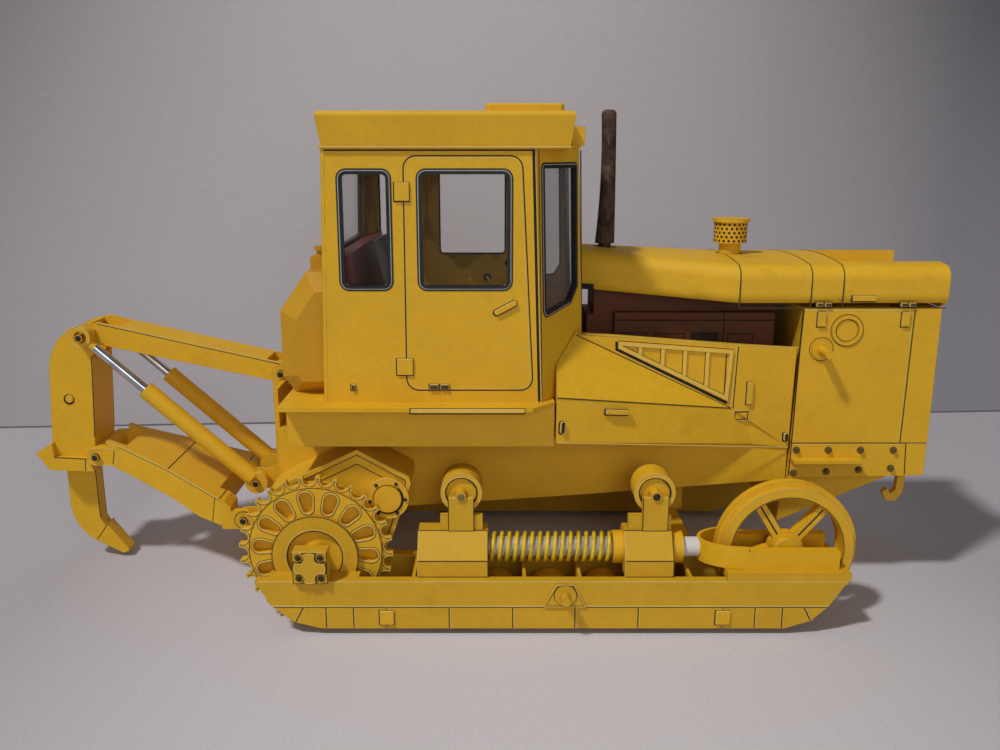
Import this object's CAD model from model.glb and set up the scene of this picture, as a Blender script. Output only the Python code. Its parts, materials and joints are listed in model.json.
"""Dresses a yellow card scale model of a crawler tractor with a rear ripper.

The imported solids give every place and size. This file gives them their card, film, wire and
chrome, and adds what is too fine for the solids: printed panel lines, window seals, bolt heads,
hinges, handles and the wound springs. Sizes are written in millimetres and built in metres.
"""

import json
import logging
import math
from dataclasses import dataclass
from enum import Enum
from functools import cache
from typing import Iterable, Sequence

import bmesh
import bpy
from mathutils import Matrix, Vector

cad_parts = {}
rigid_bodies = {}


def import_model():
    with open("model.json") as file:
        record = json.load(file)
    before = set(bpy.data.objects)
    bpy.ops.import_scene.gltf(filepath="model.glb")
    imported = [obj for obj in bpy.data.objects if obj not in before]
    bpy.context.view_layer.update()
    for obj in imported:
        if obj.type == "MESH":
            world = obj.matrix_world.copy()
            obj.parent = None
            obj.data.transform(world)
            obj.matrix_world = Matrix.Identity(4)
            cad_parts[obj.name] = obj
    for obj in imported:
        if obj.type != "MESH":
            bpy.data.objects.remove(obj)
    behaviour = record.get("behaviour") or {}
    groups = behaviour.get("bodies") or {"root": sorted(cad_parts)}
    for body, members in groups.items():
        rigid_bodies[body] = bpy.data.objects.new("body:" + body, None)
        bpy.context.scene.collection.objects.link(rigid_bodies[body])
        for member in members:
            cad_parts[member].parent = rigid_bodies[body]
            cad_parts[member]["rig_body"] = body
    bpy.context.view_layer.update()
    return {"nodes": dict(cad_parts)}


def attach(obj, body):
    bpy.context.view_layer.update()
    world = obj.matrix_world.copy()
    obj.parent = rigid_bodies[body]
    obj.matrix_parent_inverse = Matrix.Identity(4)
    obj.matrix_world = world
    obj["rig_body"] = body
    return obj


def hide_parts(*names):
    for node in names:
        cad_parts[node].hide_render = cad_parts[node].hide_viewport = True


log = logging.getLogger("card_tractor")

MM = 0.001
CHASSIS = "chassis"
CARD_SLOT = "yellow_card"
WHITE = (1.0, 1.0, 1.0, 1.0)

Point2 = tuple[float, float]
Point3 = tuple[float, float, float]
Ball = Box = tuple[float, float, float, float]
Loop = list[Point2]
Path = tuple[Sequence[Vector], bool]
Tone = tuple[int, int, int]
BMesh, Mesh, Piece = bmesh.types.BMesh, bpy.types.Mesh, bpy.types.Object
Node, Socket, Tree = bpy.types.Node, bpy.types.NodeSocket, bpy.types.NodeTree


class TreeKind(Enum):
    """The kinds of node tree that are built here."""

    SHADER = "ShaderNodeTree"
    GEOMETRY = "GeometryNodeTree"


def linear(tone: Tone, gains: Point3 = (1.0, 1.0, 1.0)) -> tuple[float, ...]:
    """Turns a display colour into the scene's linear colour.

    Args:
        tone: Red, green and blue, from 0 to 255.
        gains: What each part is multiplied by first.

    Returns:
        The colour with an alpha of 1.
    """
    parts = [int(part * gain) / 255 for part, gain in zip(tone, gains)]
    return (*(p / 12.92 if p <= 10 / 255 else ((p + 0.055) / 1.055) ** 2.4 for p in parts), 1.0)


# ------------------------------------------------------------------------------ outlines
def box_loop(left: float, low: float, right: float, high: float) -> Loop:
    """Outline of an upright rectangle, anticlockwise."""
    return [(left, low), (right, low), (right, high), (left, high)]


def arc(middle: Point2, radius: float, start: float, end: float, steps: int = 20) -> Loop:
    """Points along part of a circle, from one angle in degrees to another."""
    turns = (math.radians(start + (end - start) * k / steps) for k in range(steps + 1))
    return [(middle[0] + radius * math.cos(t), middle[1] + radius * math.sin(t)) for t in turns]


def disc_loop(middle: Point2, radius: float, steps: int = 28) -> Loop:
    """Outline of a circle, anticlockwise."""
    return arc(middle, radius, 0, 360, steps)[:-1]


def bar_loop(start: Point2, end: Point2, width: float) -> Loop:
    """Outline of a straight bar between two points.

    Args:
        start: Middle of one end.
        end: Middle of the other end.
        width: Width of the bar.

    Returns:
        The outline, anticlockwise.
    """
    first, last = Vector(start), Vector(end)
    side = (last - first).orthogonal().normalized() * width / 2
    return [tuple(first - side), tuple(last - side), tuple(last + side), tuple(first + side)]


def rounded(corners: Sequence[Point2], radius: float, steps: int = 5) -> Loop:
    """Rounds the corners of a closed outline.

    Args:
        corners: The sharp corners in order.
        radius: Corner radius.
        steps: Points on each rounded corner, less one.

    Returns:
        The rounded outline.
    """
    loop: Loop = []
    for before, corner, after in zip([corners[-1], *corners], corners, [*corners[1:], corners[0]]):
        here = Vector(corner)
        back, ahead = (Vector(before) - here).normalized(), (Vector(after) - here).normalized()
        half = back.angle(ahead) / 2
        reach = radius / math.tan(half)
        centre = here + (back + ahead).normalized() * (radius / math.sin(half))
        ends = (here + back * reach - centre, here + ahead * reach - centre)
        start, end = (math.atan2(point.y, point.x) for point in ends)
        turn = (end - start + math.pi) % (2 * math.pi) - math.pi
        loop += arc(tuple(centre), radius, math.degrees(start), math.degrees(start + turn), steps)
    return loop


def bitten_loop(
    middle: Point2, radius: float, at: float, bite: float, count: int, start: float, steps: int = 7
) -> Loop:
    """Outline of a disc with round bites out of its rim, as a toothed wheel or a clover has.

    Args:
        middle: Middle of the disc.
        radius: Its radius.
        at: Distance of the bites' middles from the disc's.
        bite: Radius of each bite.
        count: Number of bites.
        start: Angle of the first bite in degrees.
        steps: Points on each bite, less one.

    Returns:
        The outline, anticlockwise.
    """
    meet = (at**2 + radius**2 - bite**2) / (2 * at)
    half = math.degrees(math.acos(meet / radius))
    turn = math.degrees(math.atan2(math.sqrt(radius**2 - meet**2), meet - at))
    loop: Loop = []
    for index in range(count):
        angle = start + index * 360 / count
        spot = arc(middle, at, angle, angle, 1)[0]
        loop += arc(spot, bite, angle - turn, angle - 360 + turn, steps)
        loop += arc(middle, radius, angle + half, angle + 360 / count - half, steps)[1:-1]
    return loop


def pear_loop(middle: Point2, angle: float, outer: Point2, inner: Point2) -> Loop:
    """Outline of a pear-shaped opening that points away from a middle.

    Args:
        middle: Middle of the wheel.
        angle: Direction of the opening in degrees.
        outer: Distance and radius of its outer end.
        inner: Distance and radius of its inner end.

    Returns:
        The outline, anticlockwise.
    """
    flat = math.degrees(math.acos((inner[1] - outer[1]) / (outer[0] - inner[0])))
    far, near = (arc(middle, end[0], angle, angle, 1)[0] for end in (outer, inner))
    tip = arc(far, outer[1], angle - flat, angle + flat, 10)
    return tip + arc(near, inner[1], angle + flat, angle + 360 - flat, 8)


def moved_in(loop: Sequence[Point2], distance: float) -> Loop:
    """Moves an anticlockwise outline inwards by a distance, or outwards if it is negative.

    Args:
        loop: The outline.
        distance: How far each edge moves towards the inside.

    Returns:
        The moved outline, with as many points.
    """
    moved: Loop = []
    for before, point, after in zip([loop[-1], *loop], loop, [*loop[1:], loop[0]]):
        here = Vector(point)
        back, ahead = (here - Vector(before)).normalized(), (Vector(after) - here).normalized()
        normal = Vector((-back.y, back.x))
        middle = (normal + Vector((-ahead.y, ahead.x))).normalized()
        moved.append(tuple(here + middle * distance / max(0.35, middle.dot(normal))))
    return moved


@dataclass(frozen=True)
class Facet:
    """A flat face of the model, with its own flat coordinates.

    Attributes:
        origin: Where the flat coordinates start, in millimetres.
        along: Direction of the first coordinate.
        toward: A direction in the face that gives the second coordinate.
    """

    origin: Point3
    along: Point3
    toward: Point3

    def matrix(self) -> Matrix:
        """Placement of the flat coordinates in the model, in metres."""
        right, up = Vector(self.along).normalized(), Vector(self.toward)
        up = (up - right * up.dot(right)).normalized()
        turn = Matrix((right, up, right.cross(up))).transposed().to_4x4()
        return Matrix.Translation(Vector(self.origin) * MM) @ turn

    def at(self, point: Point2, lift: float = 0.0) -> Vector:
        """The place of a flat point, raised off the face by lift, in metres."""
        return self.matrix() @ (Vector((*point, lift)) * MM)

    def spot(self, point: Point2) -> Matrix:
        """Placement of a turned shape that stands on a flat point."""
        return self.matrix() @ Matrix.Translation(Vector((*point, 0)) * MM)


def side_facet(half_width: float) -> Facet:
    """The upright face of the right side, with x and z as its coordinates."""
    return Facet((0.0, -half_width, 0.0), (1, 0, 0), (0, 0, 1))


# ------------------------------------------------------------------------------ node trees
class Graph:
    """A node tree that is being filled."""

    socket_kinds = {
        float: "NodeSocketFloat", int: "NodeSocketInt", tuple: "NodeSocketColor",
        "Geometry": "NodeSocketGeometry", "Material": "NodeSocketMaterial",
    }

    def __init__(self, tree: Tree) -> None:
        """Keeps the tree that is filled."""
        self.tree = tree

    @classmethod
    def begin(cls, name: str, kind: TreeKind, inputs: dict, outputs: dict) -> tuple["Graph", object, Node]:
        """Starts a node group with its sockets.

        Args:
            name: The group's name.
            kind: The kind of tree.
            inputs: Name and first value of each input.
            outputs: Name and a value of the same type of each output.

        Returns:
            The graph, the sockets that its inputs come from, and its output node.
        """
        tree = bpy.data.node_groups.new(name, kind.value)
        for way, rows in (("INPUT", inputs), ("OUTPUT", outputs)):
            for label, value in rows.items():
                socket_kind = cls.socket_kinds.get(label) or cls.socket_kinds[type(value)]
                socket = tree.interface.new_socket(name=label, in_out=way, socket_type=socket_kind)
                if way == "INPUT" and value is not None:
                    socket.default_value = value
        graph = cls(tree)
        return graph, graph.add("NodeGroupInput").outputs, graph.add("NodeGroupOutput")

    def add(self, kind: str, feeds: dict | None = None, **settings: object) -> Node:
        """Adds a node.

        Args:
            kind: The node's type name.
            feeds: What its inputs are fed with.
            **settings: Its properties and their values.

        Returns:
            The new node.
        """
        node = self.tree.nodes.new(kind)
        for name, value in settings.items():
            setattr(node, name, value)
        self.feed(node, feeds or {})
        return node

    def feed(self, node: Node, feeds: dict) -> None:
        """Links each input to the socket that it is fed with, or sets its value.

        Args:
            node: The node.
            feeds: A socket or a value for each input's name or number.
        """
        for key, value in feeds.items():
            if isinstance(value, Socket):
                self.tree.links.new(value, node.inputs[key])
            else:
                node.inputs[key].default_value = value

    def place(self) -> Socket:
        """The place on the piece."""
        return self.add("ShaderNodeTexCoord").outputs["Object"]

    def mix(self, factor: object, first: object, second: object) -> Socket:
        """Mixes two colours.

        Args:
            factor: How much of the second is taken.
            first: The first colour.
            second: The second colour.

        Returns:
            The mixed colour.
        """
        node = self.add("ShaderNodeMix", data_type="RGBA", blend_type="MIX")
        self.feed(node, {0: factor, 6: first, 7: second})
        return node.outputs[2]

    def ramp(self, value: Socket, low: float, high: float, bottom: float = 0.0, top: float = 1.0) -> Socket:
        """Maps a value from one range to another and clamps it."""
        ends = {"From Min": low, "From Max": high, "To Min": bottom, "To Max": top}
        return self.add("ShaderNodeMapRange", {"Value": value, **ends}, clamp=True).outputs["Result"]

    def math(self, operation: str, first: object, second: object = 0.0) -> Socket:
        """Does one sum on sockets or numbers."""
        return self.add("ShaderNodeMath", {0: first, 1: second}, operation=operation).outputs[0]

    def weighed(self, *parts: tuple[Socket, float]) -> Socket:
        """Adds up values, each times its weight.

        Args:
            *parts: Each value and its weight.

        Returns:
            The sum.
        """
        total: object = 0.0
        for value, weight in parts:
            total = self.math("ADD", total, self.math("MULTIPLY", value, weight))
        return total

    def scaled(self, colour: Socket, gain: Socket) -> Socket:
        """A colour times a value."""
        return self.add("ShaderNodeVectorMath", {0: colour, "Scale": gain}, operation="SCALE").outputs[0]

    def noise(self, place: Socket, scale: float, detail: float = 2.0, rough: float = 0.55) -> Socket:
        """A noise value at a place."""
        feeds = {"Vector": place, "Scale": scale, "Detail": detail, "Roughness": rough}
        return self.add("ShaderNodeTexNoise", feeds, noise_dimensions="3D").outputs["Fac"]

    def inside(self, place: Socket, balls: Sequence[Ball]) -> Socket:
        """Tells which places are inside any of some balls.

        Args:
            place: The place on the piece.
            balls: Middle and radius of each ball, in millimetres.

        Returns:
            1 inside a ball and 0 elsewhere.
        """
        mask: object = 0.0
        for *middle, radius in balls:
            feeds = {0: place, 1: tuple(Vector(middle) * MM)}
            gap = self.add("ShaderNodeVectorMath", feeds, operation="DISTANCE").outputs["Value"]
            mask = self.math("MAXIMUM", self.math("LESS_THAN", gap, radius * MM), mask)
        return mask


@cache
def card_grain() -> Tree:
    """Colour and relief of thin card: fibres, soft mottling and faint cloudy shade."""
    inputs = {"Color": WHITE, "Mottle": 0.1, "Fibre": 1.0}
    graph, given, made = Graph.begin(
        "card_grain", TreeKind.SHADER, inputs, {"Color": WHITE, "Height": 0.0, "Roughness": 0.0}
    )
    place = graph.place()
    sizes = ((2300.0, 3.0, 0.7), (420.0,), (48.0, 3.0))
    fine, middle, cloud = (graph.noise(place, *size) for size in sizes)
    shade = graph.ramp(graph.weighed((fine, 0.45), (middle, 0.25), (cloud, 0.3)), 0.34, 0.66, -1.0, 1.0)
    gain = graph.math("ADD", 1.0, graph.math("MULTIPLY", shade, given["Mottle"]))
    relief = graph.weighed((fine, 0.7), (middle, 0.6))
    graph.feed(made, {
        "Color": graph.scaled(given["Color"], gain),
        "Height": graph.math("MULTIPLY", relief, given["Fibre"]),
        "Roughness": graph.ramp(middle, 0.3, 0.7, 0.55, 0.68),
    })
    return graph.tree


@cache
def worn_edges() -> Tree:
    """Darkens or bares the cut and folded edges, unevenly."""
    inputs = {"Color": WHITE, "Edge Color": WHITE, "Width": 0.0003, "Amount": 0.6}
    graph, given, made = Graph.begin("worn_edges", TreeKind.SHADER, inputs, {"Color": WHITE})
    bevel = graph.add("ShaderNodeBevel", {"Radius": given["Width"]}, samples=6)
    shape = graph.add("ShaderNodeNewGeometry")
    normals = {0: bevel.outputs["Normal"], 1: shape.outputs["Normal"]}
    dot = graph.add("ShaderNodeVectorMath", normals, operation="DOT_PRODUCT")
    sharp = graph.ramp(dot.outputs["Value"], 0.985, 0.86)
    patch = graph.ramp(graph.noise(graph.place(), 210.0, 3.0), 0.36, 0.62, 0.25, 1.0)
    mask = graph.math("MULTIPLY", graph.math("MULTIPLY", sharp, patch), given["Amount"])
    graph.feed(made, {"Color": graph.mix(mask, given["Color"], given["Edge Color"])})
    return graph.tree


@cache
def smudges() -> Tree:
    """Handling marks: a few soft darker patches and small glue-bare specks."""
    inputs = {"Color": WHITE, "Dark": WHITE, "Amount": 0.3}
    graph, given, made = Graph.begin("smudges", TreeKind.SHADER, inputs, {"Color": WHITE})
    place = graph.place()
    patch = graph.ramp(graph.noise(place, 75.0, 4.0, 0.6), 0.58, 0.78)
    speck = graph.ramp(graph.noise(place, 640.0, 2.0), 0.70, 0.76, 0.0, 0.6)
    mask = graph.math("MULTIPLY", graph.math("MAXIMUM", patch, speck), given["Amount"])
    graph.feed(made, {"Color": graph.mix(mask, given["Color"], given["Dark"])})
    return graph.tree


# ------------------------------------------------------------------------------ finishes
@dataclass(frozen=True)
class Finish:
    """What every finish has.

    Attributes:
        name: Material name.
        tone: Display colour, each part from 0 to 255.
        slot: The material slot of the record that it stands for.
    """

    name: str
    tone: Tone
    slot: str = CARD_SLOT

    def material(self) -> bpy.types.Material:
        """The material, built the first time it is asked for."""
        made = bpy.data.materials.get("finish_" + self.name)
        if made is None:
            made = bpy.data.materials.new("finish_" + self.name)
            made.use_nodes = True
            made.diffuse_color = linear(self.tone)
            self.fill(Graph(made.node_tree), made.node_tree.nodes["Principled BSDF"])
        return made

    def fill(self, graph: Graph, shader: Node) -> None:
        """Adds this finish's nodes to a fresh material.

        Args:
            graph: The material's graph.
            shader: Its main shader.
        """
        raise NotImplementedError

    def grain(self, graph: Graph, mottle: float, colour: object = None) -> object:
        """Adds the card grain group over a colour, which is the tone if none is given."""
        feeds = {"Color": colour or linear(self.tone), "Mottle": mottle, "Fibre": 1.0}
        return graph.add("ShaderNodeGroup", feeds, node_tree=card_grain()).outputs

    def relief(self, graph: Graph, shader: Node, height: Socket, depth: float) -> None:
        """Joins a height to the shader's normal through a bump of a depth in millimetres."""
        bump = graph.add("ShaderNodeBump", {"Strength": 1.0, "Distance": depth * MM, "Height": height})
        graph.feed(shader, {"Normal": bump.outputs["Normal"]})


@dataclass(frozen=True)
class Card(Finish):
    """Printed card with worn folds.

    Attributes:
        edge: Display colour of its cut and folded edges.
        wear: How strongly the edges show.
        dirt: How strongly the handling marks show.
        mottle: Strength of the colour variation.
    """

    edge: Tone = (96, 80, 26)
    wear: float = 0.75
    dirt: float = 0.28
    mottle: float = 0.11

    def fill(self, graph: Graph, shader: Node) -> None:
        """Card: grain, then smudges, then worn edges."""
        grain = self.grain(graph, self.mottle)
        feeds = {"Color": grain["Color"], "Dark": linear(self.tone, (0.72, 0.72, 0.72)), "Amount": self.dirt}
        marks = graph.add("ShaderNodeGroup", feeds, node_tree=smudges()).outputs["Color"]
        feeds = {"Color": marks, "Edge Color": linear(self.edge), "Width": 0.28 * MM, "Amount": self.wear}
        edges = graph.add("ShaderNodeGroup", feeds, node_tree=worn_edges()).outputs["Color"]
        graph.feed(shader, {"Base Color": edges, "Roughness": grain["Roughness"], "IOR": 1.45})
        self.relief(graph, shader, grain["Height"], 0.035)


@dataclass(frozen=True)
class Print(Finish):
    """Printed ink or bare card edge: one colour, slightly broken by the paper.

    Attributes:
        mottle: Strength of the colour variation.
        rough: Surface roughness.
    """

    mottle: float = 0.16
    rough: float = 0.55

    def fill(self, graph: Graph, shader: Node) -> None:
        """Ink: the card's grain alone."""
        grain = self.grain(graph, self.mottle)
        graph.feed(shader, {"Base Color": grain["Color"], "Roughness": self.rough, "IOR": 1.38})
        self.relief(graph, shader, grain["Height"], 0.03)


@dataclass(frozen=True)
class Spotted(Finish):
    """Printed card with a second colour inside some balls.

    Attributes:
        other: Display colour inside them.
        balls: Middle and radius of each, in millimetres.
        mottle: Strength of the colour variation.
    """

    other: Tone = (24, 26, 52)
    balls: tuple[Ball, ...] = ()
    mottle: float = 0.3

    def fill(self, graph: Graph, shader: Node) -> None:
        """Two tones under the card's grain."""
        mask = graph.inside(graph.place(), self.balls)
        grain = self.grain(graph, self.mottle, graph.mix(mask, linear(self.tone), linear(self.other)))
        graph.feed(shader, {"Base Color": grain["Color"], "Roughness": 0.5, "IOR": 1.38})


@dataclass(frozen=True)
class Film(Finish):
    """Clear plastic film.

    Attributes:
        haze: How much of it is seen straight on.
        mirror: How much of its mirror image is seen.
    """

    haze: float = 0.012
    mirror: float = 0.28

    def fill(self, graph: Graph, shader: Node) -> None:
        """Film: nearly clear, and more of a mirror at a slant."""
        wipe = graph.ramp(graph.noise(graph.place(), 120.0, 4.0), 0.4, 0.7, 0.8, 1.6)
        graze = graph.add("ShaderNodeFresnel", {"IOR": 1.4}).outputs[0]
        alpha = graph.weighed((wipe, self.haze), (graze, self.mirror))
        graph.feed(shader, {"Alpha": alpha, "Base Color": linear(self.tone), "Roughness": 0.06})


@dataclass(frozen=True)
class Metal(Finish):
    """Bare or painted metal.

    Attributes:
        metallic: 1 for bare metal and 0 for paint.
        rough: Surface roughness.
    """

    metallic: float = 1.0
    rough: float = 0.2

    def fill(self, graph: Graph, shader: Node) -> None:
        """Metal: fine handling marks in its gloss."""
        place = graph.place()
        mark = graph.noise(place, 900.0, 3.0)
        patch = graph.ramp(graph.noise(place, 260.0, 2.0), 0.35, 0.65)
        graph.feed(shader, {
            "Roughness": graph.ramp(mark, 0.3, 0.7, self.rough * 0.7, self.rough * 1.5),
            "Base Color": graph.mix(patch, linear(self.tone), linear(self.tone, (0.86, 0.86, 0.86))),
            "Metallic": self.metallic,
        })
        self.relief(graph, shader, mark, 0.012)


@dataclass(frozen=True)
class EyedRod(Metal):
    """Polished rod with a card eye at one end.

    Attributes:
        eye: Middle of the eye, on the middle plane, and how far the card goes from there.
        card: Display colour of the card.
    """

    eye: Ball = (-123.3, 0.0, 78.9, 5.2)
    card: Tone = (223, 172, 24)

    def fill(self, graph: Graph, shader: Node) -> None:
        """Metal, then card near the eye."""
        super().fill(graph, shader)
        level = graph.add("ShaderNodeVectorMath", {0: graph.place(), 1: (1, 0, 1)}, operation="MULTIPLY")
        mask = graph.inside(level.outputs[0], (self.eye,))
        metal, gloss = (shader.inputs[name].links[0].from_socket for name in ("Base Color", "Roughness"))
        graph.feed(shader, {
            "Base Color": graph.mix(mask, metal, linear(self.card)),
            "Metallic": graph.math("SUBTRACT", 1.0, mask),
            "Roughness": graph.math("ADD", gloss, graph.math("MULTIPLY", mask, 0.4)),
        })


@dataclass(frozen=True)
class Rust(Finish):
    """Brown, rusted and sooty surface of the exhaust."""

    def fill(self, graph: Graph, shader: Node) -> None:
        """Rust: three browns in patches, with a wrinkled surface."""
        place = graph.place()
        patch, wrinkle = graph.noise(place, 260.0, 5.0, 0.65), graph.noise(place, 620.0, 4.0, 0.6)
        dark, pale = linear(self.tone, (0.55, 0.52, 0.55)), linear(self.tone, (1.35, 1.2, 1.1))
        brown = graph.mix(graph.ramp(patch, 0.38, 0.62), linear(self.tone), dark)
        rust = graph.mix(graph.ramp(wrinkle, 0.6, 0.72), brown, pale)
        graph.feed(shader, {"Base Color": rust, "Roughness": 0.85})
        self.relief(graph, shader, graph.weighed((patch, 1.0), (wrinkle, 0.5)), 0.5)


@dataclass(frozen=True)
class Board(Finish):
    """Grey board of the table and backdrop.

    Attributes:
        dim: Display colour that it fades to on both sides.
        middle: Where along x it is brightest, in metres.
        reach: How far from there it is dimmest.
        corner: How strongly its upper corners darken.
        one_sided: Whether it is clear from behind.
    """

    dim: Tone = (160, 154, 156)
    middle: float = 0.0
    reach: float = 0.3
    corner: float = 0.0
    one_sided: bool = False

    def fill(self, graph: Graph, shader: Node) -> None:
        """Board: fibres and specks over a slow change of tone."""
        place = graph.place()
        parts = graph.add("ShaderNodeSeparateXYZ", {0: place}).outputs
        across = graph.math("SUBTRACT", parts["X"], self.middle)
        away = graph.ramp(graph.math("MULTIPLY", across, across), 0.0, self.reach * self.reach)
        base = graph.mix(away, linear(self.tone), linear(self.dim))
        fibre, speck = graph.noise(place, 900.0, 4.0, 0.7), graph.noise(place, 2400.0, 1.0)
        shade = graph.ramp(graph.weighed((fibre, 0.7), (speck, 0.3)), 0.35, 0.65, 0.93, 1.06)
        slant = graph.math("MULTIPLY", parts["X"], parts["Z"])
        corner = graph.ramp(graph.math("MULTIPLY", slant, slant), 0.0, 0.0026, 1.0, 1.0 - self.corner)
        base = graph.scaled(base, graph.math("MULTIPLY", shade, corner))
        graph.feed(shader, {"Base Color": base, "Roughness": 0.9, "IOR": 1.3})
        self.relief(graph, shader, fibre, 0.05)
        if self.one_sided:
            clear, back = graph.add("ShaderNodeBsdfTransparent"), graph.add("ShaderNodeNewGeometry")
            sides = {0: back.outputs["Backfacing"], 1: shader.outputs[0], 2: clear.outputs[0]}
            pick = graph.add("ShaderNodeMixShader", sides)
            out = next(n for n in graph.tree.nodes if n.type == "OUTPUT_MATERIAL")
            graph.feed(out, {"Surface": pick.outputs[0]})


YELLOW = Card("yellow_card", (223, 172, 24))
YELLOW_ROUND = Card("yellow_card_rolled", (224, 174, 28), wear=0.35, dirt=0.4)
YELLOW_PALE = Card("yellow_card_raised", (230, 190, 74), wear=0.3, dirt=0.15)
TANK = Card("yellow_card_tank", (196, 146, 19))
TRACK = Card("yellow_card_track", (207, 160, 23))
ENGINE = Card("engine_print", (98, 46, 3), edge=(56, 32, 8), wear=0.35)
ENGINE_INK = Print("engine_ink", (36, 18, 6), mottle=0.3)
INK = Print("black_ink", (30, 30, 26))
INK_SOFT = Print("soft_ink", (74, 66, 30), mottle=0.3)
PALE = Print("pale_edge", (212, 184, 98), mottle=0.12)
SILVER_PRINT = Print("silver_print", (176, 178, 172), mottle=0.2)
SEAL = Print("seal_print", (33, 36, 36), mottle=0.25, rough=0.42)
BOLT = Print("bolt_print", (92, 80, 40), mottle=0.3, rough=0.45)
BOLT_DARK = Print("dark_bolt_print", (52, 47, 30), mottle=0.35, rough=0.4)
WORN_TIP = Print("worn_axle_tip", (122, 112, 66), mottle=0.4)
FILM = Film("clear_film", (150, 154, 156), "clear_film")
SEAT = Spotted("seat_paper", (88, 88, 86), "seat_paper", (112, 54, 46), ((-530.4, 0, 80, 500),))
KNOBS = ((-2, -8, 99, 1.5), (4, -3, 98.5, 1.5), (5, 3, 96, 1.5), (12, 8, 100, 1.5))
LEVERS = Spotted("lever_paper", (214, 176, 20), "lever_paper", (24, 26, 52), KNOBS)
YOKE_RODS = tuple((64.7, y, 22.7, 3.9) for y in (-45, 45))
YOKE = Spotted("yellow_card_yoke", (223, 172, 24), CARD_SLOT, (214, 212, 208), YOKE_RODS, 0.11)
RUST = Rust("rusty_paper", (88, 66, 50), "rusty_paper")
CHROME = EyedRod("chrome_rod", (214, 216, 220), "chrome_rod", 1.0, 0.14)
WIRE = Metal("spring_wire", (236, 196, 24), "spring_wire", 0.0, 0.3)
PALE_ROD = Metal("recoil_rod", (190, 188, 180), "chrome_rod", 0.1, 0.4)
PIN = Metal("black_pin", (26, 24, 22), "lever_paper", 0.0, 0.4)


# ------------------------------------------------------------------------------ pieces
def put(name: str, data: bpy.types.ID) -> Piece:
    """Puts a new object into the scene.

    Args:
        name: Its name.
        data: Its mesh, lamp or camera.

    Returns:
        The object.
    """
    made = bpy.data.objects.new(name, data)
    bpy.context.scene.collection.objects.link(made)
    return made


def stand(mesh: Mesh, name: str, body: str) -> Piece:
    """Makes an object that rides on a body.

    Args:
        mesh: Its mesh.
        name: Its name, which the mesh gets too.
        body: The body.

    Returns:
        The object.
    """
    mesh.name = name
    made = put(name, mesh)
    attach(made, body)
    return made


def piece_of(mesh: Mesh, name: str, finishes: Sequence[Finish], body: str) -> Piece:
    """Makes a piece of a mesh and gives it its finishes.

    Args:
        mesh: The mesh, in place.
        name: Piece name.
        finishes: Its finishes, in the order of its material numbers.
        body: The body that it rides on.

    Returns:
        The piece.
    """
    if mesh.materials:
        mesh.materials.clear()
    for finish in finishes:
        mesh.materials.append(finish.material())
    made = stand(mesh, name, body)
    log.info("piece %s rides on %s", name, body)
    return made


def new_piece(
    name: str, bm: BMesh, finishes: Sequence[Finish], body: str = CHASSIS, smooth: bool = False
) -> Piece:
    """Turns a finished mesh into a piece that rides on a body.

    Args:
        name: Piece name.
        bm: The mesh, in metres and in place.
        finishes: Its finishes, in the order of its material numbers.
        body: The body that it rides on.
        smooth: Whether its faces are shaded smooth.

    Returns:
        The new object.
    """
    bmesh.ops.recalc_face_normals(bm, faces=bm.faces)
    for face in bm.faces:
        face.smooth = smooth
    mesh = bpy.data.meshes.new(name)
    bm.to_mesh(mesh)
    bm.free()
    return piece_of(mesh, name, finishes, body)


def twin(piece: Piece, body: str | None = None) -> Piece:
    """Makes the left-hand twin of a right-hand piece.

    Args:
        piece: The right-hand piece.
        body: The body of the twin, or None for the same one.

    Returns:
        The twin.
    """
    mesh = piece.data.copy()
    mesh.transform(Matrix.Diagonal((1, -1, 1, 1)))
    mesh.flip_normals()
    made = stand(mesh, piece.name.replace("_right", "_left"), body or piece["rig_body"])
    return made


def walls(bm: BMesh, rings: Sequence[Sequence[bmesh.types.BMVert]], index: int) -> None:
    """Adds the faces between closed rings of as many points each.

    Args:
        bm: The mesh that they are added to.
        rings: The rings in order.
        index: Material number.
    """
    for ring, after in zip(rings, rings[1:]):
        for k, vert in enumerate(ring):
            following = (k + 1) % len(ring)
            bm.faces.new((vert, ring[following], after[following], after[k])).material_index = index


def band(
    bm: BMesh,
    facet: Facet,
    outer: Sequence[Point2],
    inner: Sequence[Point2],
    low: float,
    high: float,
    index: int,
) -> None:
    """Adds a flat closed frame between two outlines of as many points.

    Args:
        bm: The mesh that it is added to.
        facet: The face that it lies on.
        outer: Outer outline.
        inner: Inner outline.
        low: Its underside above the face.
        high: Its top above the face.
        index: Material number.
    """
    rows = ((outer, low), (outer, high), (inner, high), (inner, low))
    rings = [[bm.verts.new(facet.at(p, lift)) for p in loop] for loop, lift in rows]
    walls(bm, rings + rings[:1], index)


def slab(
    bm: BMesh, facet: Facet, loop: Sequence[Point2], low: float, high: float, ease: float, top: int, side: int
) -> None:
    """Adds a raised flat piece of card with eased top edges.

    Args:
        bm: The mesh that it is added to.
        facet: The face that it lies on.
        loop: Anticlockwise outline.
        low: Its underside above the face.
        high: Its top above the face.
        ease: Width of the eased edge.
        top: Material number of the top.
        side: Material number of the sides.
    """
    rows = [(loop, low), (loop, high - ease), (moved_in(loop, ease), high)]
    rings = [[bm.verts.new(facet.at(p, lift)) for p in row] for row, lift in rows]
    walls(bm, rings, side)
    bm.faces.new(rings[-1]).material_index = top
    bm.faces.new(list(reversed(rings[0]))).material_index = side


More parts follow.
